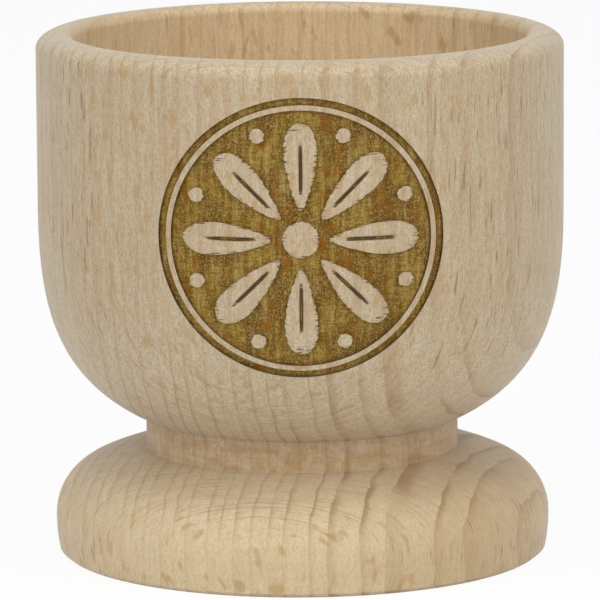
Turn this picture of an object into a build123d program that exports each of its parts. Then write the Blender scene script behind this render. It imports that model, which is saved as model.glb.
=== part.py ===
from build123d import *
import os
from math import radians, sqrt, tan

# Footed egg cup, turned in one piece from a beech blank, with a round medallion scorched into
# the front of its bowl. Millimetres. The turning axis is +Z, the origin is the centre of the
# base, and the medallion faces -Y.

# Bowl
cup_height = 47.9
bowl_diameter = 48.0
mouth_wall = 3.4             # wood between the mouth and the bowl's side
mouth_depth = 7.0            # rim down to where the round bottom of the hollow starts
rim_round_width = 2.3        # outer edge of the rim, across the wall
rim_round_height = 1.4       # outer edge of the rim, down the side
lip_round = 0.9              # inner edge of the rim
side_length = 16.3           # rim down to where the side starts to curve in
flank_drop = 8.8             # pull of the straight side on the curve below it
flank_reach = 9.0            # pull of the bowl's underside on that curve
underside_slope = 24.0       # degrees that the underside rises from the neck

# Neck and foot
neck_diameter = 28.6
neck_length = 2.8
foot_height = 9.7            # base up to the neck
foot_diameter = 45.3
foot_widest_height = 3.4     # base up to the widest point of the foot
foot_crown_radius = 5.3      # curve from the widest point up to the foot's top
foot_crown_sweep = 66.5      # degrees of that curve
foot_side_radius = 15.5      # curve from the widest point down to the base
base_chamfer = 0.4

# Scorched medallion
medallion_diameter = 25.0
medallion_drop = 3.0         # rim down to the medallion's upper edge
border_width = 0.6           # scorched ring round the field
border_gap = 0.5             # bare wood between the ring and the field
engraving_depth = 0.4        # wood that the beam reached, square to the bowl's side
char_thickness = 0.15        # layer of it that is left, charred, on the recess floor
beam_start_gap = 1.0         # bowl's side to the plane that the medallion is drawn on

# Turned profile
bowl_radius = bowl_diameter / 2
mouth_radius = bowl_radius - mouth_wall
neck_radius = neck_diameter / 2
foot_radius = foot_diameter / 2
rim_width = min(rim_round_width, 0.68 * mouth_wall)
lip_radius = min(lip_round, 0.28 * mouth_wall)
rim_start = cup_height - rim_round_height
side_end = cup_height - side_length
neck_top = foot_height + neck_length
hollow_round_start = cup_height - mouth_depth
hollow_bottom = hollow_round_start - mouth_radius
foot_side_axis = foot_radius - foot_side_radius
base_radius = foot_side_axis + sqrt(foot_side_radius**2 - foot_widest_height**2)

# Medallion, on the plane that it is drawn on
medallion_radius = medallion_diameter / 2
medallion_height = cup_height - medallion_drop - medallion_radius
border_inner_radius = medallion_radius - border_width
field_radius = border_inner_radius - border_gap
drawing_distance = bowl_radius + beam_start_gap
drawing_plane = Plane((0, -drawing_distance, medallion_height), x_dir=(1, 0, 0), z_dir=(0, -1, 0))
beam_reach = drawing_distance / 2
char_face_depth = engraving_depth - char_thickness


def draw_bowl_side(inset=0):
    """Straight side and the curve that runs from it in to the neck, both moved in by inset."""
    side_x = bowl_radius - inset
    outwards = Vector(1, 0).rotate(Axis.Z, underside_slope)
    inwards = outwards.rotate(Axis.Z, 90)
    trim = inset * 4 / 3 * tan(radians(90 - underside_slope) / 4)
    neck_end = Vector(neck_radius, neck_top) + inwards * inset
    side = Line((side_x, rim_start), (side_x, side_end))
    side_pull = Vector(side_x, side_end - flank_drop + trim)
    Bezier(side @ 1, side_pull, neck_end + outwards * (flank_reach - trim), neck_end)
    return side @ 0, neck_end


def bowl_core(inset):
    """The bowl without its hollow, with its side moved in by inset: a depth gauge for the beam."""
    with BuildPart() as core:
        with BuildSketch(Plane.XZ):
            with BuildLine():
                top, bottom = draw_bowl_side(inset)
                Polyline(bottom, (0, bottom.Y), (0, top.Y), top)
            make_face()
        revolve(axis=Axis.Z)
    return core.part


# What the beam draws: a ring and a round field inside it
with BuildSketch(drawing_plane) as border_outline:
    Circle(medallion_radius)
    Circle(border_inner_radius, mode=Mode.SUBTRACT)

with BuildSketch(drawing_plane) as field_outline:
    Circle(field_radius)

# The wood that the beam took or charred, cut square to the drawing and to an even depth
with BuildPart() as beam_path:
    extrude(border_outline.sketch, amount=-beam_reach)
    extrude(field_outline.sketch, amount=-beam_reach)
    add(bowl_core(engraving_depth), mode=Mode.SUBTRACT)

# Charred layer that stays on the recess floor
with BuildPart() as char_layer:
    add(bowl_core(char_face_depth))
    add(bowl_core(engraving_depth), mode=Mode.SUBTRACT)

# Turned cup: foot, neck and bowl are one piece of wood
with BuildPart() as turned_cup:
    with BuildSketch(Plane.XZ) as half_section:
        with BuildLine():
            Line((0, 0), (base_radius, 0))
            foot_side = RadiusArc((base_radius, 0), (foot_radius, foot_widest_height), -foot_side_radius)
            foot_crown = JernArc(foot_side @ 1, (0, 1), foot_crown_radius, foot_crown_sweep)
            TangentArc(foot_crown @ 1, (neck_radius, foot_height), tangent=foot_crown % 1)
            Line((neck_radius, foot_height), (neck_radius, neck_top))
            draw_bowl_side()
            EllipticalCenterArc((bowl_radius - rim_width, rim_start), rim_width, rim_round_height)
            Line((bowl_radius - rim_width, cup_height), (mouth_radius + lip_radius, cup_height))
            CenterArc((mouth_radius + lip_radius, cup_height - lip_radius), lip_radius, 90, 90)
            Line((mouth_radius, cup_height - lip_radius), (mouth_radius, hollow_round_start))
            CenterArc((0, hollow_round_start), mouth_radius, 270, 90)
            Line((0, hollow_bottom), (0, 0))
        make_face()
    revolve(axis=Axis.Z)
    chamfer(faces().sort_by(Axis.Z)[0].edges(), base_chamfer)
    add(beam_path.part, mode=Mode.SUBTRACT)

# Charred ring and field, each seated on the floor of its own recess
with BuildPart() as scorched_border:
    extrude(border_outline.sketch, amount=-beam_reach)
    add(char_layer.part, mode=Mode.INTERSECT)

with BuildPart() as scorched_field:
    extrude(field_outline.sketch, amount=-beam_reach)
    add(char_layer.part, mode=Mode.INTERSECT)

turned_cup.part.label = "turned_cup"
scorched_border.part.label = "scorched_border"
scorched_field.part.label = "scorched_field"

os.makedirs("parts", exist_ok=True)
export_step(turned_cup.part, "parts/turned_cup.step")
export_step(scorched_border.part, "parts/scorched_border.step")
export_step(scorched_field.part, "parts/scorched_field.step")
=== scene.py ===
import math

import bpy
import numpy as np
from bpy.props import FloatProperty, FloatVectorProperty, IntProperty, PointerProperty
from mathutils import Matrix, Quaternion, Vector


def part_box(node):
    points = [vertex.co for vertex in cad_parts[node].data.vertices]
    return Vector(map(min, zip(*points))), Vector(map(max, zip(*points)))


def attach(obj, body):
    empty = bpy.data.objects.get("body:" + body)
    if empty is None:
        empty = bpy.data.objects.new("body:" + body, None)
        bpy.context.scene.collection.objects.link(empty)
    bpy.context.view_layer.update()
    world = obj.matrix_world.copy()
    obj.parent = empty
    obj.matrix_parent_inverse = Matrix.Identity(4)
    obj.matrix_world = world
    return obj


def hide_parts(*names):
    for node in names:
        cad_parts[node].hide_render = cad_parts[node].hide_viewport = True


bl_info = {
    "name": "Beech Egg Cup",
    "version": (1, 0, 0),
    "blender": (4, 5, 0),
    "location": "View3D > Sidebar > Egg Cup",
    "description": "Dresses the packed egg cup in beech, with a rosette scorched into its bowl",
    "category": "Object",
}

MM = 0.001
SCORCH = "scorch"            # point attribute: 0 is bare wood, 1 is charred

# The packed part, and the places on it that the new pieces are fitted to
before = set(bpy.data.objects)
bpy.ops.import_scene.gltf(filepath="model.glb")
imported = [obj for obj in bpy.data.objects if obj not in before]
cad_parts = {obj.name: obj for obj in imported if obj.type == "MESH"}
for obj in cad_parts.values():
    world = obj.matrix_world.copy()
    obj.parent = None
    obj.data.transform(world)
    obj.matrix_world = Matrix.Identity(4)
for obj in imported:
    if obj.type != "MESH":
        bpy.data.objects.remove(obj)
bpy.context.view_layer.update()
cup_low, cup_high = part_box("turned_cup")
border_low, border_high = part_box("scorched_border")
field_low, field_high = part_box("scorched_field")

CUP_HEIGHT = cup_high.z
BOWL_RADIUS = (cup_high.x - cup_low.x) / 2
MEDALLION_RADIUS = (border_high.x - border_low.x) / 2
MEDALLION_HEIGHT = (border_high.z + border_low.z) / 2
FIELD_RADIUS = (field_high.x - field_low.x) / 2
CHAR_DEPTH = BOWL_RADIUS + field_low.y
FLOOR_DEPTH = BOWL_RADIUS - math.hypot(FIELD_RADIUS, field_high.y)

# Which of the cup's own points its neck and its side are found from
LOWER_PART = 0.4 * CUP_HEIGHT
BASE_MIDDLE = 0.3 * BOWL_RADIUS
OUTER_PART = 0.88 * BOWL_RADIUS
NECK_TOLERANCE = 0.01 * MM
SIDE_TOLERANCE = 0.001 * MM


def node_points(name):
    """The vertices of a packed node, one row each."""
    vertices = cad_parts[name].data.vertices
    points = np.empty(3 * len(vertices), np.float32)
    vertices.foreach_get("co", points)
    return points.reshape(-1, 3).astype(float)


def find_neck():
    """Radius of the neck and the heights where it starts and ends.

    The neck is where the lower outside of the cup is narrowest.
    """
    x, y, z = node_points("turned_cup").T
    radius = np.hypot(x, y)
    lower_outside = (z < LOWER_PART) & (radius > BASE_MIDDLE)
    neck = lower_outside & (radius < radius[lower_outside].min() + NECK_TOLERANCE)
    return radius[neck].mean(), z[neck].min(), z[neck].max()


def find_border():
    """Inner radius of the ring round the medallion."""
    x, y, z = node_points("scorched_border").T
    return np.hypot(x, z - MEDALLION_HEIGHT).min()


NECK_RADIUS, NECK_LOW, NECK_HIGH = find_neck()
BORDER_INNER_RADIUS = find_border()
ENGRAVED_RADII = (FIELD_RADIUS, BORDER_INNER_RADIUS, MEDALLION_RADIUS)

# Where the tones of the wood change, painted highlight and painted shade among them: radii, places
# front to back, and heights
WALL_RADII = (0.865 * BOWL_RADIUS, 0.885 * BOWL_RADIUS)    # in the thickness of the bowl's wall
LIP_RADIUS = 0.89 * BOWL_RADIUS
NECK_FLARE = (NECK_RADIUS + 1.5 * MM, NECK_RADIUS + 0.3 * MM)
CREASE_FLARE = (NECK_RADIUS + 1.6 * MM, NECK_RADIUS + 0.4 * MM)
FRONT = (-0.5 * BOWL_RADIUS, -0.6 * BOWL_RADIUS)
FOOT_FADE = 0.27 * CUP_HEIGHT
FOOT_WORN = 0.2 * CUP_HEIGHT
FOOT_FULL = 0.17 * CUP_HEIGHT
FLANK = (0.6 * CUP_HEIGHT, 0.42 * CUP_HEIGHT)
RIM = (CUP_HEIGHT - 1.4 * MM, CUP_HEIGHT - 0.3 * MM)
RIM_TOP = (0.985 * CUP_HEIGHT, 0.998 * CUP_HEIGHT)
NECK_START = (NECK_LOW - 0.3 * MM, NECK_LOW + 0.3 * MM)
NECK_STOP = (NECK_HIGH + 0.6 * MM, NECK_HIGH)
HOLLOW_BOTTOM = (NECK_HIGH, NECK_HIGH + 5 * MM)
CREASE_REACH = (0.9 * MM, 0.1 * MM)


def srgb(red, green, blue):
    """A colour as a picture shows it, from 0 to 255, in the linear values of the sRGB curve."""
    shares = np.array([red, green, blue]) / 255
    return tuple(np.where(shares <= 0.04045, shares / 12.92, ((shares + 0.055) / 1.055) ** 2.4))


def length(name, description, default):
    """A setting in metres."""
    return FloatProperty(
        name=name, description=description, default=default, unit="LENGTH", precision=5
    )


def power(name, description, default):
    """A setting in watts."""
    return FloatProperty(name=name, description=description, default=default, unit="POWER")


def colour(name, description, *shown):
    """A setting whose default is a colour as a picture shows it."""
    return FloatVectorProperty(
        name=name, description=description, default=srgb(*shown), subtype="COLOR", min=0, max=1
    )


# What a user would change

class EGGCUP_PG_rosette(bpy.types.PropertyGroup):
    """Bare wood that stands in the scorched field."""

    petal_count: IntProperty(name="Petals", description="Petals round the centre", default=8, min=3)
    petal_root: length("Petal root", "Medallion's centre to the petals' inner ends", 2.6 * MM)
    petal_tip: length("Petal tip", "Medallion's centre to the petals' outer ends", 10.3 * MM)
    petal_width: length("Petal width", "Width of a petal before it tapers", 3.9 * MM)
    vein_width: length("Vein width", "Width of the groove along a petal", 0.36 * MM)
    pearl_diameter: length("Pearl", "Diameter of the dots between the petals", 1.3 * MM)
    pearl_circle: length("Pearl circle", "Medallion's centre to the pearls", 9.9 * MM)
    button_diameter: length("Button", "Diameter of the round centre", 3.2 * MM)
    ragged_edge: length("Ragged edge", "How far a line of the beam may overrun an edge", 0.16 * MM)
    beam_line: length("Beam line", "Height of one line of the beam", 0.14 * MM)
    floor_wave: length("Floor wave", "How much deeper the beam cut into the softer wood", 0.02 * MM)


class EGGCUP_PG_beech(bpy.types.PropertyGroup):
    """Figure and colours of the wood."""

    pith_x: length("Pith, across", "Where the heart of the log lay, to the cup's right", 136 * MM)
    pith_y: length(
        "Pith, front to back", "Where the heart of the log lay, before the cup", -45 * MM
    )
    inner_ring: length("Inner ring", "Width of the growth rings near the heart", 3.09 * MM)
    outer_ring: length("Outer ring", "Width of the growth rings further out", 1.41 * MM)
    ring_change: length(
        "Ring change", "Where that width changes, from the cup's middle outwards", -5.55 * MM
    )
    ring_start: FloatProperty(
        name="Ring start", description="Share of a ring that the cup's middle is past its edge",
        default=0.12, subtype="FACTOR",
    )
    wander: length("Wander", "How far the grain strays from straight", 0.5 * MM)
    jag: length("Jag", "How far a ring's edge runs in and out", 0.55 * MM)
    wood: colour("Wood", "Bare beech", 206, 194, 163)
    blush: colour("Blush", "Beech where it turns pink", 201, 181, 154)
    honey: colour("Honey", "Beech towards the foot", 226, 206, 168)
    # Painted light: the inside of the bowl is painted lighter and greyer than the outside, standing
    # in for light in the hollow
    hollow: colour("Hollow", "Beech inside the bowl, which isn't sanded as much", 230, 207, 169)
    # Pale wood is a painted highlight on the rim, low on the bowl and on the top of the foot
    pale: colour(
        "Pale wood", "Beech rubbed pale, on the rim, low on the bowl and on the foot", 217, 204, 176
    )
    # The heart colour also serves as painted shade round the neck
    heart: colour("Heart", "Beech towards the heart of the log, and round the neck", 184, 152, 110)
    ring: colour("Ring", "Edge of a growth ring", 154, 117, 68)
    ray: colour("Ray", "Rays cut across", 126, 94, 58)
    fleck: colour("Fleck", "Rays seen from their broad side", 180, 144, 88)


class EGGCUP_PG_char(bpy.types.PropertyGroup):
    """Colours of the scorched wood."""

    char: colour("Char", "Scorched beech", 151, 121, 38)
    deep: colour("Deep char", "Where the beam burnt deepest", 99, 65, 0)
    pale: colour("Pale char", "Where the wood resisted the beam", 184, 159, 98)
    ember: colour("Ember", "Scorched flecks", 140, 82, 2)
    # The edge colour serves as char and as painted shade on the engraving's walls
    edge: colour("Edge", "Walls of the engraving", 78, 52, 25)


class EGGCUP_PG_stage(bpy.types.PropertyGroup):
    """Camera and light."""

    lens: FloatProperty(name="Lens", description="Focal length", default=348.6, unit="CAMERA")
    distance: length("Distance", "Camera to the cup's middle", 532.0 * MM)
    elevation: FloatProperty(
        name="Elevation", description="Camera's height above the horizon",
        default=math.radians(9.549), subtype="ANGLE",
    )
    roll: FloatProperty(
        name="Roll", description="Turn of the picture, right side up",
        default=math.radians(0.368), subtype="ANGLE",
    )
    aim: FloatVectorProperty(
        name="Aim", description="Point at the middle of the picture",
        default=(-0.119 * MM, 0, 22.98 * MM), subtype="XYZ", unit="LENGTH",
    )
    sky: FloatProperty(name="Sky", description="Strength of the light from all round", default=0.25)
    left_lamp: power("Left lamp", "Lamp to the left of the camera", 1.32)
    right_lamp: power("Right lamp", "Lamp to the right of the camera", 1.39)
    top_lamp: power("Top lamp", "Lamp over the cup", 1.13)


# Shapes

SIDE_POWERS = np.arange(2, 6)
SHARP_ANGLE = math.radians(50)
SCATTER_TURN, SCATTER_GAIN = 12.9898, 43758.5453

# Grid lines across each shape
FLOOR_LINES = 121
PETAL_LINES_ACROSS, PETAL_LINES_ALONG = 41, 37
PEARL_LINES = 15
BUTTON_LINES = 25

# Waves of the scorched floor
FINE_WAVE, COARSE_WAVE = 0.31 * MM, 0.73 * MM
SWAY, SWAY_HEIGHT = 2, 3 * MM
LEVEL_FROM = 0.95            # share of the way out to the floor's edge

# Shape of a petal, along which -1 is its root and 1 is its tip
PETAL_MIDDLE, PETAL_TAPER = 0.68, 0.32
VEIN_START, VEIN_STOP = (-0.85, -0.4), (0.75, 0.2)
VEIN_STEEPNESS = 4
VEIN_CROWDING = 1.5          # grid lines lie closer together towards the vein

# Edges of the bare islands, as shares of the way out to them
RAGGED_FROM = 0.8
SINGED_FROM, SINGED_TO = 0.55, 0.95
SINGE = 0.42                 # how far the edge itself is on the way to char


def fit_bowl_side():
    """Height where the bowl's straight side ends, and the factors of the curve below it.

    The curve is R - r = c2 t^2 + c3 t^3 + c4 t^4 + c5 t^5, where t is the drop below the straight
    side in millimetres. Its factors are the least-squares fit to the cup's own back half.
    """
    x, y, z = node_points("turned_cup").T
    radius = np.hypot(x, y)
    straight_end = z[radius > BOWL_RADIUS - SIDE_TOLERANCE].min()
    outside = (y > 0) & (radius > OUTER_PART)
    curve = outside & (z < straight_end) & (z > border_low.z - MM)
    drop = (straight_end - z[curve]) / MM
    factors = np.linalg.lstsq(drop[:, None] ** SIDE_POWERS, BOWL_RADIUS - radius[curve], rcond=None)
    return straight_end, factors[0]


STRAIGHT_END, SIDE_FACTORS = fit_bowl_side()


def on_bowl(across, up, depth):
    """Points on the front of the bowl, or at a depth below it, from places on the medallion.

    y = -sqrt(r^2 - x^2), where r is the bowl's radius at that height less the depth, and the depth
    is measured square to the bowl's side.
    """
    z = MEDALLION_HEIGHT + up
    drop = np.maximum(STRAIGHT_END - z, 0)[..., None] / MM
    radius = BOWL_RADIUS - (drop**SIDE_POWERS) @ SIDE_FACTORS
    slope = (drop ** (SIDE_POWERS - 1)) @ (SIDE_FACTORS * SIDE_POWERS) / MM
    radius = radius - depth * np.sqrt(1 + slope**2)
    return np.stack([across, -np.sqrt(radius**2 - across**2), z], axis=-1)


def disc_grid(across, up):
    """A square grid laid on the unit disc: p = u sqrt(1 - v^2 / 2), q = v sqrt(1 - u^2 / 2).

    The third array is 1 on the disc's edge and 0 at its centre.
    """
    u, v = np.meshgrid(across, up)
    return u * np.sqrt(1 - v**2 / 2), v * np.sqrt(1 - u**2 / 2), np.maximum(abs(u), abs(v))


def smooth_step(low, high, value):
    """0 at low, 1 at high, and 3 t^2 - 2 t^3 between them. Low may be the larger."""
    share = np.clip((value - low) / (high - low), 0, 1)
    return share**2 * (3 - 2 * share)


def turns(count, start):
    """Equal turns round the medallion, from a share of one turn on, for a stack of grids."""
    return ((np.arange(count) + start) * 2 * np.pi / count)[:, None, None]


def floor_waves(across, up, edge, rosette):
    """How much deeper than the mean the beam cut, by the grain: half the setting times two waves.

    They are sin(x / f + s sin(z / h)), which is fine and sways with the height, and the coarser
    sin(x / c + 1). Both die out at the floor's edge.
    """
    grain = np.sin(across / FINE_WAVE + SWAY * np.sin(up / SWAY_HEIGHT))
    grain = grain + np.sin(across / COARSE_WAVE + 1)
    return rosette.floor_wave / 2 * grain * smooth_step(1, LEVEL_FROM, edge)


def petal_grid(rosette):
    """One upright petal: places across it and out from the centre, its edge and its groove.

    It is a disc drawn out from the root, where q is -1, to the tip, where q is 1. Its width is
    multiplied by m + t q, which makes it egg-shaped. The groove is exp(-(2 w / v)^4) at a distance
    w from the middle, for a vein of width v, and fades out at both ends of the vein.
    """
    steps = np.linspace(-1, 1, PETAL_LINES_ACROSS)
    crowded = np.sign(steps) * abs(steps) ** VEIN_CROWDING
    p, q, edge = disc_grid(crowded, np.linspace(-1, 1, PETAL_LINES_ALONG))
    root, tip = rosette.petal_root, rosette.petal_tip
    wide = rosette.petal_width / 2 * p * (PETAL_MIDDLE + PETAL_TAPER * q)
    out = (root + tip + q * (tip - root)) / 2
    vein = smooth_step(*VEIN_START, q) * smooth_step(*VEIN_STOP, q)
    return wide, out, edge, np.exp(-((2 * wide / rosette.vein_width) ** VEIN_STEEPNESS)) * vein


def overrun(up, rosette):
    """How far the beam overran an edge, as an odd share from -0.5 to 0.5 that each line keeps.

    On the nth line it is the fraction of g sin(t n), less a half, with a large gain g.
    """
    line = np.floor(up / rosette.beam_line)
    return (np.sin(SCATTER_TURN * line) * SCATTER_GAIN) % 1 - 0.5


def slab_faces(rows, columns):
    """Quads that join two equal grids into a closed slab.

    They are its front, its back turned the other way, and the wall round them.
    """
    front = np.arange(rows * columns).reshape(rows, columns)
    back = front.size
    corners = front[:-1, :-1], front[:-1, 1:], front[1:, 1:], front[1:, :-1]
    sheet = np.stack(corners, axis=-1).reshape(-1, 4)
    edge = np.concatenate([front[0, :-1], front[:-1, -1], front[-1, :0:-1], front[:0:-1, 0]])
    after = np.roll(edge, -1)
    wall = np.stack([edge, edge + back, after + back, after], axis=-1)
    return np.concatenate([sheet, sheet[:, ::-1] + back, wall])


def make_slabs(name, front, back, scorch, material):
    """One piece from equal slabs, whose front and back hold a grid of points each.

    Scorch holds the char at each point of the front. The back is all char.
    """
    count, rows, columns = front.shape[:3]
    points = np.stack([front, back], axis=1).reshape(-1, 3)
    step = 2 * rows * columns * np.arange(count)[:, None, None]
    faces = (slab_faces(rows, columns) + step).reshape(-1, 4)
    mesh = bpy.data.meshes.new(name)
    mesh.from_pydata(points.tolist(), [], faces.tolist())
    burnt = np.stack([scorch, np.ones_like(scorch)], axis=1).ravel()
    mesh.attributes.new(SCORCH, "FLOAT", "POINT").data.foreach_set("value", burnt)
    mesh.polygons.foreach_set("use_smooth", np.ones(len(faces), bool))
    mesh.set_sharp_from_angle(angle=SHARP_ANGLE)
    mesh.materials.append(material)
    mesh.validate()
    piece = bpy.data.objects.new(name, mesh)
    bpy.context.scene.collection.objects.link(piece)
    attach(piece, "root")
    return piece


def raise_islands(name, across, up, edge, groove, rosette):
    """Bare wood left standing on the field's floor, its top in the bowl's own surface.

    Edge is 0 at an island's middle and 1 at its edge. Groove is 1 where the beam cut to the floor.
    """
    overran = overrun(up, rosette) * rosette.ragged_edge
    ragged = across + overran * smooth_step(RAGGED_FROM, 1, edge)
    front = on_bowl(ragged, up, CHAR_DEPTH * groove)
    back = on_bowl(ragged, up, (CHAR_DEPTH + FLOOR_DEPTH) / 2)
    scorch = np.maximum(groove, SINGE * smooth_step(SINGED_FROM, SINGED_TO, edge))
    return make_slabs(name, front, back, scorch, make_beech())


# Materials

PORE_DEPTH = 0.012 * MM
CHAR_PIT_DEPTH = 0.03 * MM
# The engraving's walls are darkened as char and as painted shade, this far to each side
SINGED_AND_SHADED_WALL = 0.04 * MM      # reach of the walls of the engraving to each side
CHARRED_AND_SHADED_WALL = 0.05 * MM


class Shade:
    """An output socket. Sums and products of it add Math nodes to its tree."""

    def __init__(self, finish, socket):
        self.finish = finish
        self.socket = socket

    def math(self, operation, *others):
        inputs = dict(enumerate((self,) + others))
        return self.finish.node("ShaderNodeMath", {"operation": operation}, inputs)

    def swapped(self, operation, other):
        return self.finish.node("ShaderNodeMath", {"operation": operation}, {0: other, 1: self})

    def __add__(self, other):
        return self.math("ADD", other)

    def __sub__(self, other):
        return self.math("SUBTRACT", other)

    def __mul__(self, other):
        return self.math("MULTIPLY", other)

    def __truediv__(self, other):
        return self.math("DIVIDE", other)

    def __pow__(self, other):
        return self.math("POWER", other)

    def __abs__(self):
        return self.math("ABSOLUTE")

    def __rsub__(self, other):
        return self.swapped("SUBTRACT", other)

    def __rtruediv__(self, other):
        return self.swapped("DIVIDE", other)

    def __rpow__(self, other):
        return self.swapped("POWER", other)

    __radd__ = __add__
    __rmul__ = __mul__

    def most(self, other):
        """The larger of the two."""
        return self.math("MAXIMUM", other)

    def ramp(self, low, high):
        """0 at low, 1 at high, and a smooth step between them. Low may be the larger."""
        limits = {"Value": self, "From Min": low, "From Max": high}
        return self.finish.node("ShaderNodeMapRange", {"interpolation_type": "SMOOTHSTEP"}, limits)


class Finish:
    """A material or a world whose nodes are written as expressions."""

    def __init__(self, owner):
        self.owner = owner
        owner.use_nodes = True
        self.tree = owner.node_tree
        self.tree.nodes.clear()

    def node(self, kind, settings=None, inputs=None, output=0):
        """Adds a node, sets its settings and then its sockets, and gives back one output."""
        added = self.tree.nodes.new(kind)
        for setting, value in (settings or {}).items():
            setattr(added, setting, value)
        for place, value in (inputs or {}).items():
            if isinstance(value, Shade):
                self.tree.links.new(value.socket, added.inputs[place])
            else:
                added.inputs[place].default_value = value
        return Shade(self, added.outputs[output]) if added.outputs else None

    def mix(self, share, first, second):
        """The first colour where share is 0 and the second where it is 1."""
        colours = {0: share, 6: self.opaque(first), 7: self.opaque(second)}
        return self.node("ShaderNodeMix", {"data_type": "RGBA"}, colours, output=2)

    def layers(self, base, *coats):
        """A base colour with others laid over it in turn, each given as a share and a colour."""
        for share, coat in coats:
            base = self.mix(share, base, coat)
        return base

    def opaque(self, value):
        return value if isinstance(value, Shade) else (*value, 1)

    def parts(self, vector):
        """The three numbers of a vector."""
        split = self.node("ShaderNodeSeparateXYZ", inputs={0: vector}).socket.node
        return [Shade(self, socket) for socket in split.outputs]

    def vector(self, x, y, z):
        return self.node("ShaderNodeCombineXYZ", inputs={0: x, 1: y, 2: z})

    def noise(self, place, detail=0, output=0):
        """Smooth noise, about 0.2 to 0.8, with one lump to each unit of the place."""
        inputs = {"Vector": place, "Scale": 1, "Detail": detail}
        return self.node("ShaderNodeTexNoise", inputs=inputs, output=output)

    def bump(self, height, depth):
        """The normal of hollows of this depth. A height of 0 is the bottom and 1 is the top."""
        inputs = {"Strength": 1, "Distance": depth, "Height": height}
        return self.node("ShaderNodeBump", inputs=inputs)

    def seen_rays(self):
        """1 for what the camera sees, straight or in a gloss or through glass, and 0 for light."""
        kinds = ("Is Camera Ray", "Is Glossy Ray", "Is Transmission Ray")
        camera, glossy, through = (self.node("ShaderNodeLightPath", output=kind) for kind in kinds)
        return camera.most(glossy).most(through)

    def surface(self, inputs):
        """Ends the material in a Principled BSDF."""
        shader = self.node("ShaderNodeBsdfPrincipled", inputs=inputs)
        self.node("ShaderNodeOutputMaterial", inputs={"Surface": shader})
        return self.owner


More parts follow.
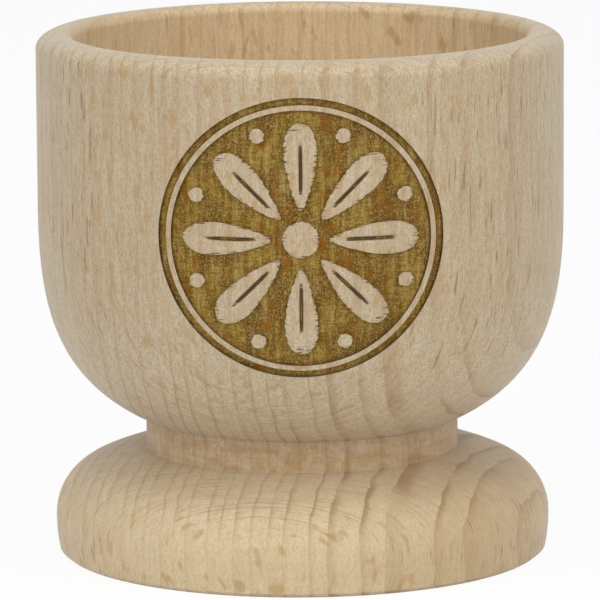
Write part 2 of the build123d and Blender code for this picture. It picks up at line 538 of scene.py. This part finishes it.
class BeechFigure:
    """What shows in a piece of beech, each as a share from 0 to 1.

    It is worked out in the log that the piece came from. Rings lie round the pith. Rays are thin
    upright sheets that run out from it, so they show as fine lines on end grain, as short dashes
    where the face looks along them and as broad flecks where it lies along them.
    """

    RING_BLEND = 2.4 * MM        # over a few times this, the width of the rings changes
    RING_UNEVEN = 0.9            # years that a ring may come early or late, at most half each way

    def __init__(self, finish, beech):
        self.finish = finish
        self.x, self.y, self.z = finish.parts(finish.node("ShaderNodeTexCoord", output="Object"))
        self.facing = finish.parts(finish.node("ShaderNodeTexCoord", output="Normal"))
        facing_x, facing_y, facing_z = self.facing
        self.from_axis = (self.x * self.x + self.y * self.y) ** 0.5
        inwards = facing_z - (facing_x * self.x + facing_y * self.y) / self.from_axis
        self.hollow = inwards.ramp(0.2, 0.6)
        self.end_grain = abs(facing_z).ramp(0.2, 0.85)
        self.find_place(beech)
        self.grow_rings(beech)
        self.grow_rays()
        self.pore = self.lumps(across=0.13, up=0.6).ramp(0.42, 0.75)
        self.grit = self.lumps(across=0.13, up=0.15).ramp(0.35, 0.65)
        self.beam = self.lumps(across=0.9, up=0.14)
        self.grain = self.lumps(across=0.5, up=6, detail=2).ramp(0.35, 0.65)
        self.drift = self.lumps(across=6, up=15, detail=4).ramp(0.3, 0.7)

    def spread(self, across, up):
        """The place in the piece, in units of these millimetres across it and up it."""
        return self.finish.vector(
            self.x / (across * MM), self.y / (across * MM), self.z / (up * MM)
        )

    def lumps(self, across, up, detail=1):
        """Noise with lumps of these millimetres across the piece and up it."""
        return self.finish.noise(self.spread(across, up), detail)

    def sheets(self, thick, deep, tall):
        """Noise with lumps that run out from the pith as rays do, in millimetres."""
        place = self.along / thick, self.radius / (deep * MM), self.z / (tall * MM)
        return self.finish.noise(self.finish.vector(*place), detail=1)

    def find_place(self, beech):
        """Where in the log a point lies, as the grain strays, and how broadside its rays show."""
        facing_x, facing_y, _ = self.facing
        stray = self.finish.noise(self.spread(across=14, up=40), detail=2, output="Color")
        stray_x, stray_y, _ = self.finish.parts(stray)
        out_x = self.x + (stray_x - 0.5) * (2 * beech.wander) - beech.pith_x
        out_y = self.y + (stray_y - 0.5) * (2 * beech.wander) - beech.pith_y
        pith_distance = math.hypot(beech.pith_x, beech.pith_y)
        self.radius = (out_x * out_x + out_y * out_y) ** 0.5
        self.beyond = self.radius - pith_distance
        self.along = out_y.math("ARCTAN2", 0 - out_x) * (pith_distance / MM)
        self.broadside = abs(out_x * facing_y - out_y * facing_x) / self.radius
        self.heart = self.beyond.ramp(-7 * MM, -21 * MM)
        self.sap = self.beyond.ramp(10 * MM, 22 * MM)

    def grow_rings(self, beech):
        """Rings round the pith, each paler at its start and darker to the sharp edge where it ends.

        The years at a distance d are d / a + b ln(1 + e^((d - c) / b)) (1 / w - 1 / a), so the
        width of the rings goes from a to w round d = c.
        """
        jagged = self.beyond + (self.lumps(across=1.7, up=6) - 0.5) * beech.jag
        growth = ((jagged - beech.ring_change) / self.RING_BLEND).math("EXPONENT")
        narrow = (1 + growth).math("LOGARITHM", math.e) * self.RING_BLEND
        year = jagged / beech.inner_ring + narrow * (1 / beech.outer_ring - 1 / beech.inner_ring)
        uneven = self.finish.noise(self.finish.vector(jagged / (2.2 * MM), 0, 0)) - 0.5
        year = year + beech.ring_start + uneven * self.RING_UNEVEN
        self.season = year.math("FRACT")
        ended = self.season.ramp(1, 0.97)

        fading = self.finish.vector(year * 0.6, self.along / 7, self.z / (9 * MM))
        outer = self.beyond.ramp(-9 * MM, 0)
        worn = outer * self.z.ramp(FOOT_FADE, FOOT_WORN)
        strength = self.finish.noise(fading, detail=1).ramp(0.22, 0.58)
        strength = strength * (1 - 0.2 * outer - 0.28 * worn)
        sanded = 1 - 0.6 * self.z.ramp(*RIM_TOP)
        edge = self.season.ramp(0.58, 0.96) ** 2 * ended
        self.ring = edge * strength * (0.35 + 0.65 * self.end_grain) * sanded
        late = self.season.ramp(0.15, 0.95) * ended
        self.late = late * strength * (0.5 + 0.5 * self.end_grain)

    def grow_rays(self):
        """Rays as dashes, as hairs on end grain and as flecks where they lie in the face."""
        dashes = self.sheets(thick=0.25, deep=3, tall=3.2).ramp(0.63, 0.72)
        self.ray = dashes * (1 - self.broadside.ramp(0.65, 0.97)) * (1 - self.end_grain)
        self.hair = self.sheets(thick=0.10, deep=6, tall=3).ramp(0.52, 0.68) * self.end_grain
        flecks = self.sheets(thick=0.45, deep=1.5, tall=2.2).ramp(0.58, 0.72)
        self.fleck = flecks * (0.15 + 0.85 * self.broadside.ramp(0.45, 0.9))


def engraved_edges(figure, width):
    """1 on the upright walls of the engraving, which lie on circles on the front of the bowl. It
    darkens them as char and as painted shade in the recess.
    """
    up = figure.z - MEDALLION_HEIGHT
    from_centre = (figure.x * figure.x + up * up) ** 0.5
    edges = [abs(from_centre - radius).ramp(width, 0.3 * width) for radius in ENGRAVED_RADII]
    outside = figure.from_axis.ramp(*WALL_RADII)
    return sum(edges[1:], edges[0]) * outside * figure.y.ramp(*FRONT)


def make_beech():
    """Sanded beech, singed at the edges of the engraving, with painted shade along the engraving's
    walls.
    """
    if "sanded_beech" in bpy.data.materials:
        return bpy.data.materials["sanded_beech"]
    beech, char = bpy.context.scene.egg_cup_beech, bpy.context.scene.egg_cup_char
    finish = Finish(bpy.data.materials.new("sanded_beech"))
    figure = BeechFigure(finish, beech)
    z, from_axis = figure.z, figure.from_axis

    # Where on the cup a face lies
    # inside marks the inner wall of the bowl, which carries the painted light there
    inside = from_axis.ramp(LIP_RADIUS, WALL_RADII[0]) * z.ramp(*HOLLOW_BOTTOM) * figure.hollow
    neck = z.ramp(*NECK_START) * z.ramp(*NECK_STOP) * from_axis.ramp(*NECK_FLARE)
    # Painted shade in the inner corner where the neck meets the foot
    crease_shade = abs(z - NECK_LOW).ramp(*CREASE_REACH) * from_axis.ramp(*CREASE_FLARE)
    low = z.ramp(FOOT_FADE, FOOT_FULL)
    flank = z.ramp(*FLANK) * (1 - low)
    smooth = inside.most(low)

    # What shows there, laid on from the palest tone to the finest marks, with painted highlight and
    # painted shade among the tones
    turned = figure.lumps(across=5, up=0.3)
    patches = figure.lumps(across=2, up=1.2, detail=2).ramp(0.35, 0.65)
    blush = 0.45 * figure.drift + 0.2 * figure.season.ramp(0.2, 0.95) + 0.35 * figure.grain
    # Painted highlight: the rim, the lower bowl and the top of the foot are painted paler, standing
    # in for light falling on them
    highlighted = z.ramp(*RIM) + 0.5 * flank + 0.25 * low * figure.end_grain
    # Painted shade: the neck is painted darker and warmer, standing in for the shade under the
    # bowl. The rest of this tone is the wood's own: heartwood, sapwood, late wood and patches
    tone_and_neck_shade = neck * (0.2 + 0.5 * patches) + figure.heart * (0.4 * smooth + 0.1 * flank)
    tone_and_neck_shade = tone_and_neck_shade + low * (0.2 * figure.sap + 0.22 * figure.late + 0.1 * patches)
    streaks = figure.grain * (0.26 - 0.12 * low) + neck * turned.ramp(0.5, 0.7) * 0.3
    wood = finish.layers(
        beech.wood,
        (blush, beech.blush),
        (low, beech.honey),
        # painted highlight
        (highlighted, beech.pale),
        # painted light inside the bowl
        (inside, beech.hollow),
        # wood tone towards the heart, and painted shade on the neck
        (tone_and_neck_shade, beech.heart),
        # painted shade in the inner corner at the foot of the neck
        (crease_shade * figure.drift * 0.06, beech.ring),
        (streaks, beech.fleck),
        (figure.pore * (0.4 - 0.2 * smooth), beech.ring),
        (figure.grit * (0.33 - 0.16 * smooth), beech.ring),
        (figure.fleck * 0.6 + figure.drift * inside * 0.12, beech.fleck),
        (figure.ring * (0.72 + 0.4 * neck), beech.ring),
        (figure.hair * 0.3, beech.ray),
        (figure.ray * (0.68 - 0.38 * inside) * (1 - 0.5 * neck), beech.ray),
    )

    # Singed edges and burnt veins, and painted shade along the engraving's walls
    scorch = finish.node("ShaderNodeAttribute", {"attribute_name": SCORCH}, output="Fac")
    singed = scorch.most(engraved_edges(figure, SINGED_AND_SHADED_WALL))
    burnt = (singed + (figure.beam - 0.5) * 0.8).ramp(0.4, 0.6)
    wood = finish.mix(burnt, wood, finish.mix(scorch.ramp(0.6, 1), char.deep, char.edge))

    hollows = 0.5 * figure.pore + 0.3 * figure.ray + 0.2 * figure.hair
    hollows = hollows + 0.3 * turned.ramp(0.4, 0.7) * neck
    return finish.surface({
        "Base Color": wood,
        "Roughness": 0.5 + 0.08 * figure.pore + 0.06 * figure.drift + 0.15 * burnt,
        "Normal": finish.bump(1 - hollows, PORE_DEPTH),
        "Specular IOR Level": 0.5,
        "Sheen Weight": 0.22,
        "Sheen Roughness": 0.5,
    })


def make_char():
    """Beech scorched by a beam that went over it line by line."""
    if "charred_beech" in bpy.data.materials:
        return bpy.data.materials["charred_beech"]
    beech, char = bpy.context.scene.egg_cup_beech, bpy.context.scene.egg_cup_char
    finish = Finish(bpy.data.materials.new("charred_beech"))
    figure = BeechFigure(finish, beech)
    patches = figure.lumps(across=2.6, up=4, detail=3)
    streaks = figure.lumps(across=0.45, up=4, detail=2)
    embers = figure.lumps(across=1.1, up=2, detail=3)
    burnt = finish.layers(
        char.char,
        (patches.ramp(0.42, 0.62) * 0.9, char.deep),
        (streaks.ramp(0.47, 0.63) * 0.8, char.deep),
        (streaks.ramp(0.48, 0.3) * 0.6, char.pale),
        (figure.grit**2 * 0.7, char.pale),
        (figure.pore * 0.5, char.deep),
        (embers.ramp(0.55, 0.7) * 0.8, char.ember),
        (figure.ring * 0.8, char.deep),
        (figure.beam.ramp(0.45, 0.75) * 0.6, char.deep),
        # the engraving's walls: char, and painted shade of the recess
        (engraved_edges(figure, CHARRED_AND_SHADED_WALL), char.edge),
    )
    hollows = 0.4 * figure.beam + 0.3 * figure.pore + 0.3 * streaks
    return finish.surface({
        "Base Color": burnt,
        "Roughness": 0.75 + 0.15 * figure.grit,
        "Normal": finish.bump(1 - hollows, CHAR_PIT_DEPTH),
        "Specular IOR Level": 0.2,
    })


# Pieces

def dress(name, material):
    """Gives a packed node its finish in place of the plain one."""
    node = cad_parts[name]
    node.data.materials.clear()
    node.data.materials.append(material)
    return node


class EGGCUP_OT_turned_cup(bpy.types.Operator):
    """Gives the turned cup its sanded beech"""

    bl_idname = "eggcup.turned_cup"
    bl_label = "Turned Cup"

    def execute(self, context):
        cup = dress("turned_cup", make_beech())
        return {"FINISHED"}


class EGGCUP_OT_scorched_border(bpy.types.Operator):
    """Chars the ring round the medallion"""

    bl_idname = "eggcup.scorched_border"
    bl_label = "Scorched Border"

    def execute(self, context):
        border = dress("scorched_border", make_char())
        return {"FINISHED"}


class EGGCUP_OT_scorched_floor(bpy.types.Operator):
    """Lays the charred floor of the medallion, which waves with the grain"""

    bl_idname = "eggcup.scorched_floor"
    bl_label = "Scorched Floor"

    def execute(self, context):
        rosette = context.scene.egg_cup_rosette
        lines = np.linspace(-1, 1, FLOOR_LINES)
        p, q, edge = disc_grid(lines, lines)
        across, up = FIELD_RADIUS * p, FIELD_RADIUS * q
        front = on_bowl(across, up, CHAR_DEPTH + floor_waves(across, up, edge, rosette))
        back = on_bowl(across, up, np.full_like(up, FLOOR_DEPTH))
        scorch = np.ones_like(up)
        floor = make_slabs(
            "scorched_floor", front[None], back[None], scorch[None], make_char()
        )
        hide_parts("scorched_field")
        return {"FINISHED"}


class EGGCUP_OT_bare_petals(bpy.types.Operator):
    """Leaves a ring of egg-shaped petals standing in the field, each with a burnt vein"""

    bl_idname = "eggcup.bare_petals"
    bl_label = "Bare Petals"

    def execute(self, context):
        rosette = context.scene.egg_cup_rosette
        wide, out, edge, groove = petal_grid(rosette)
        turn = turns(rosette.petal_count, 0)
        across = wide * np.cos(turn) + out * np.sin(turn)
        up = out * np.cos(turn) - wide * np.sin(turn)
        edge, groove = np.broadcast_arrays(edge, groove, across)[:2]
        raise_islands("bare_petals", across, up, edge, groove, rosette)
        return {"FINISHED"}


class EGGCUP_OT_bare_pearls(bpy.types.Operator):
    """Leaves a round pearl standing between each two petals, and a button at the centre"""

    bl_idname = "eggcup.bare_pearls"
    bl_label = "Bare Pearls"

    def execute(self, context):
        rosette = context.scene.egg_cup_rosette
        lines = np.linspace(-1, 1, PEARL_LINES)
        p, q, edge = disc_grid(lines, lines)
        turn = turns(rosette.petal_count, 0.5)
        across = rosette.pearl_circle * np.sin(turn) + rosette.pearl_diameter / 2 * p
        up = rosette.pearl_circle * np.cos(turn) + rosette.pearl_diameter / 2 * q
        edge = np.broadcast_to(edge, across.shape)
        raise_islands("bare_pearls", across, up, edge, np.zeros_like(up), rosette)
        lines = np.linspace(-1, 1, BUTTON_LINES)
        p, q, edge = disc_grid(lines, lines)
        radius = rosette.button_diameter / 2
        across, up = radius * p[None], radius * q[None]
        raise_islands("bare_button", across, up, edge[None], np.zeros_like(up), rosette)
        return {"FINISHED"}


# Stage

LAMP_DISTANCE = 0.6
LAMP_SIZE = 0.45
LAMPS = {                    # bearing from the camera and height above the horizon, in degrees
    "left_lamp": (-45, 30),
    "right_lamp": (45, 30),
    "top_lamp": (0, 85),
}
FLOOR_REACH = 3.0
FLOOR_GREY = 0.93
FLOOR_WHITENESS = 0.93       # how far towards plain white the floor is seen
ORBIT_HEIGHT = 0.025         # the camera's elevation is measured from this height
SENSOR_WIDTH = 36
NEAREST_SEEN = 0.01
WHITE = (1, 1, 1, 1)


class EGGCUP_OT_stage(bpy.types.Operator):
    """Sets the floor, the light and the camera"""

    bl_idname = "eggcup.stage"
    bl_label = "Stage"

    def execute(self, context):
        stage = context.scene.egg_cup_stage
        context.scene.view_settings.view_transform = "Standard"
        self.lay_floor(context)
        self.light_world(context, stage.sky)
        for name, (bearing, height) in LAMPS.items():
            strength = getattr(stage, name)
            self.hang_lamp(context, name, strength, math.radians(bearing), math.radians(height))
        self.set_camera(context, stage)
        return {"FINISHED"}

    def lay_floor(self, context):
        """A pale floor that is seen most of the way to white, so that it keeps a faint shadow."""
        mesh = bpy.data.meshes.new("floor")
        corners = FLOOR_REACH * np.array([(-1, -1, 0), (1, -1, 0), (1, 1, 0), (-1, 1, 0)])
        mesh.from_pydata(corners.tolist(), [], [(0, 1, 2, 3)])
        finish = Finish(bpy.data.materials.new("floor"))
        grey = (FLOOR_GREY, FLOOR_GREY, FLOOR_GREY, 1)
        pale = finish.node("ShaderNodeBsdfDiffuse", inputs={"Color": grey})
        white = finish.node("ShaderNodeEmission", inputs={"Color": WHITE, "Strength": 1})
        share = finish.seen_rays() * FLOOR_WHITENESS
        shown = finish.node("ShaderNodeMixShader", inputs={0: share, 1: pale, 2: white})
        finish.node("ShaderNodeOutputMaterial", inputs={"Surface": shown})
        mesh.materials.append(finish.owner)
        floor = bpy.data.objects.new("floor", mesh)
        context.scene.collection.objects.link(floor)

    def light_world(self, context, strength):
        """Even light, and plain white where the camera or a gloss looks past the floor."""
        finish = Finish(bpy.data.worlds.new("white room"))
        light = finish.node("ShaderNodeBackground", inputs={"Color": WHITE, "Strength": strength})
        white = finish.node("ShaderNodeBackground", inputs={"Color": WHITE, "Strength": 1})
        share = finish.seen_rays()
        shown = finish.node("ShaderNodeMixShader", inputs={0: share, 1: light, 2: white})
        finish.node("ShaderNodeOutputWorld", inputs={"Surface": shown})
        context.scene.world = finish.owner

    def hang_lamp(self, context, name, strength, bearing, height):
        """A broad soft lamp that shines on what the camera is aimed at."""
        lamp = bpy.data.objects.new(name, bpy.data.lights.new(name, "AREA"))
        lamp.data.energy = strength
        lamp.data.size = LAMP_SIZE
        level, rise = LAMP_DISTANCE * math.cos(height), LAMP_DISTANCE * math.sin(height)
        away = Vector((level * math.sin(bearing), -level * math.cos(bearing), rise))
        lamp.location = Vector(context.scene.egg_cup_stage.aim) + away
        lamp.rotation_euler = (-away).to_track_quat("-Z", "Y").to_euler()
        context.scene.collection.objects.link(lamp)

    def set_camera(self, context, stage):
        """The camera before the cup, aimed, and rolled about the line that it looks along."""
        data = bpy.data.cameras.new("camera")
        data.sensor_width = SENSOR_WIDTH
        data.lens = stage.lens
        data.clip_start = NEAREST_SEEN
        camera = bpy.data.objects.new("camera", data)
        context.scene.collection.objects.link(camera)
        level, rise = math.cos(stage.elevation), math.sin(stage.elevation)
        camera.location = (0, -stage.distance * level, ORBIT_HEIGHT + stage.distance * rise)
        aim = (Vector(stage.aim) - camera.location).to_track_quat("-Z", "Y")
        camera.rotation_mode = "QUATERNION"
        camera.rotation_quaternion = aim @ Quaternion((0, 0, 1), -stage.roll)
        context.scene.camera = camera


class EGGCUP_PT_panel(bpy.types.Panel):
    """Lists the cup's pieces and what can be changed on them"""

    bl_idname = "EGGCUP_PT_panel"
    bl_label = "Egg Cup"
    bl_space_type = "VIEW_3D"
    bl_region_type = "UI"
    bl_category = "Egg Cup"

    def draw(self, context):
        for operator in OPERATORS:
            self.layout.operator(operator.bl_idname)
        for name, group in SETTINGS.items():
            box = self.layout.box()
            box.label(text=group.__doc__)
            for setting in group.__annotations__:
                box.prop(getattr(context.scene, name), setting)


SETTINGS = {
    "egg_cup_rosette": EGGCUP_PG_rosette,
    "egg_cup_beech": EGGCUP_PG_beech,
    "egg_cup_char": EGGCUP_PG_char,
    "egg_cup_stage": EGGCUP_PG_stage,
}
OPERATORS = (
    EGGCUP_OT_turned_cup,
    EGGCUP_OT_scorched_border,
    EGGCUP_OT_scorched_floor,
    EGGCUP_OT_bare_petals,
    EGGCUP_OT_bare_pearls,
    EGGCUP_OT_stage,
)
CLASSES = (*SETTINGS.values(), *OPERATORS, EGGCUP_PT_panel)


def register():
    for cls in CLASSES:
        bpy.utils.register_class(cls)
    for name, group in SETTINGS.items():
        setattr(bpy.types.Scene, name, PointerProperty(type=group))


def unregister():
    for name in SETTINGS:
        delattr(bpy.types.Scene, name)
    for cls in reversed(CLASSES):
        bpy.utils.unregister_class(cls)


def main():
    register()
    bpy.ops.eggcup.turned_cup()
    bpy.ops.eggcup.scorched_border()
    bpy.ops.eggcup.scorched_floor()
    bpy.ops.eggcup.bare_petals()
    bpy.ops.eggcup.bare_pearls()
    bpy.ops.eggcup.stage()


if __name__ == "__main__":
    main()
